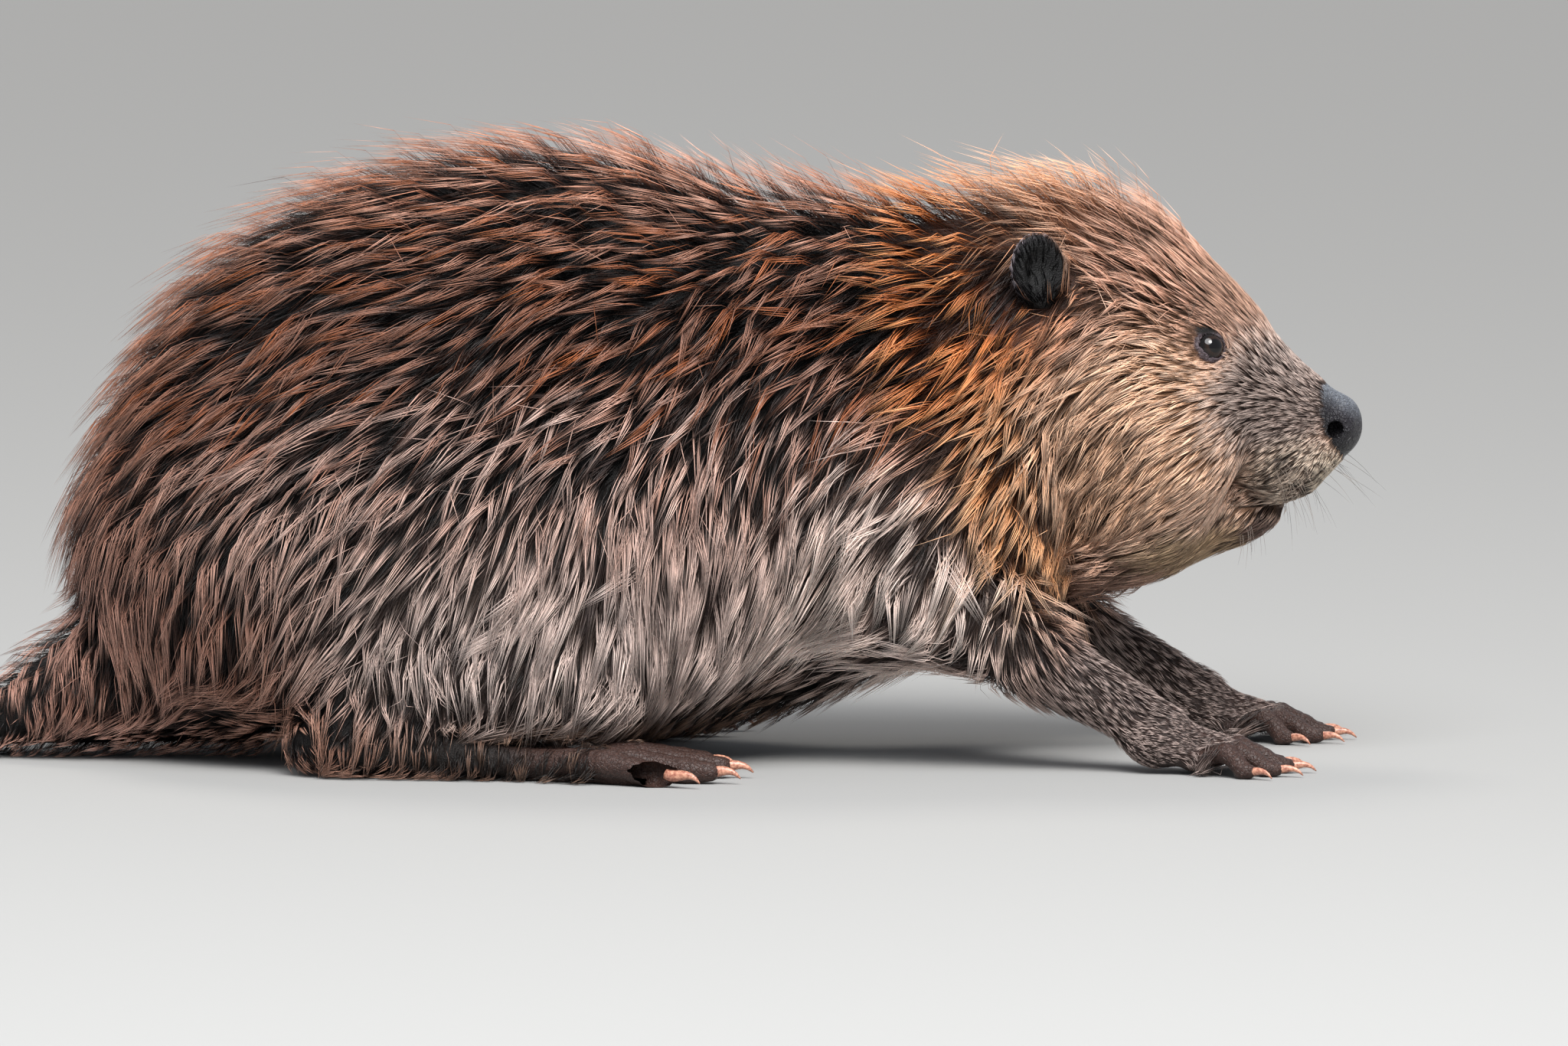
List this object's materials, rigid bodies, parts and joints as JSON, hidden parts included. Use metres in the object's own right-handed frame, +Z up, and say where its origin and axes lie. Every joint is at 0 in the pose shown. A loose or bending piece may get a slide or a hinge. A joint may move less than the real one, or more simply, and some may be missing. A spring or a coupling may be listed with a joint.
{
  "type": "beaver, life-size still model",
  "caption": "Life-size still model of a beaver crouched on all fours, forepaws reaching forward, with a wet shaggy brown coat and a flat scaly tail laid on the floor.",
  "frame": {"origin": "centre of the model's box at floor level: the soles, palms and underside of the tail rest at z = 0", "axes": "+X from the tail towards the nose, +Y to the animal's left, +Z up"},
  "size_m": [0.8408, 0.285, 0.2656],
  "materials": {
    "coat": "long wet-looking guard hair in pointed locks over dark underfur, reddish brown on the back, grey brown on the flanks and tan on the face",
    "bare_skin": "dark, damp, finely creased skin of the nose, paws and hind feet",
    "tail_scale": "dark leathery skin in small flat scales",
    "claw_horn": "worn orange-pink horn",
    "eye": "wet black",
    "ear_fur": "short, nearly black fur"
  },
  "bodies": {
    "root": {"tail_root": "coat", "rump": "coat", "loin": "coat", "chest": "coat", "neck": "coat", "head": "coat", "nose": "bare_skin", "lower_jaw": "coat", "shoulder_right": "coat", "thigh_right": "coat", "forearm_right": "coat", "forepaw_right": "bare_skin", "foreclaw_right_1": "claw_horn", "foreclaw_right_2": "claw_horn", "foreclaw_right_3": "claw_horn", "foreclaw_right_4": "claw_horn", "foreclaw_right_5": "claw_horn", "hind_foot_right": "bare_skin", "hind_claw_right_1": "claw_horn", "hind_claw_right_2": "claw_horn", "hind_claw_right_3": "claw_horn", "hind_claw_right_4": "claw_horn", "hind_claw_right_5": "claw_horn", "ear_right": "ear_fur", "eye_right": "eye", "shoulder_left": "coat", "thigh_left": "coat", "forearm_left": "coat", "forepaw_left": "bare_skin", "foreclaw_left_1": "claw_horn", "foreclaw_left_2": "claw_horn", "foreclaw_left_3": "claw_horn", "foreclaw_left_4": "claw_horn", "foreclaw_left_5": "claw_horn", "hind_foot_left": "bare_skin", "hind_claw_left_1": "claw_horn", "hind_claw_left_2": "claw_horn", "hind_claw_left_3": "claw_horn", "hind_claw_left_4": "claw_horn", "hind_claw_left_5": "claw_horn", "ear_left": "ear_fur", "eye_left": "eye", "tail": "tail_scale"}
  },
  "joints": []
}
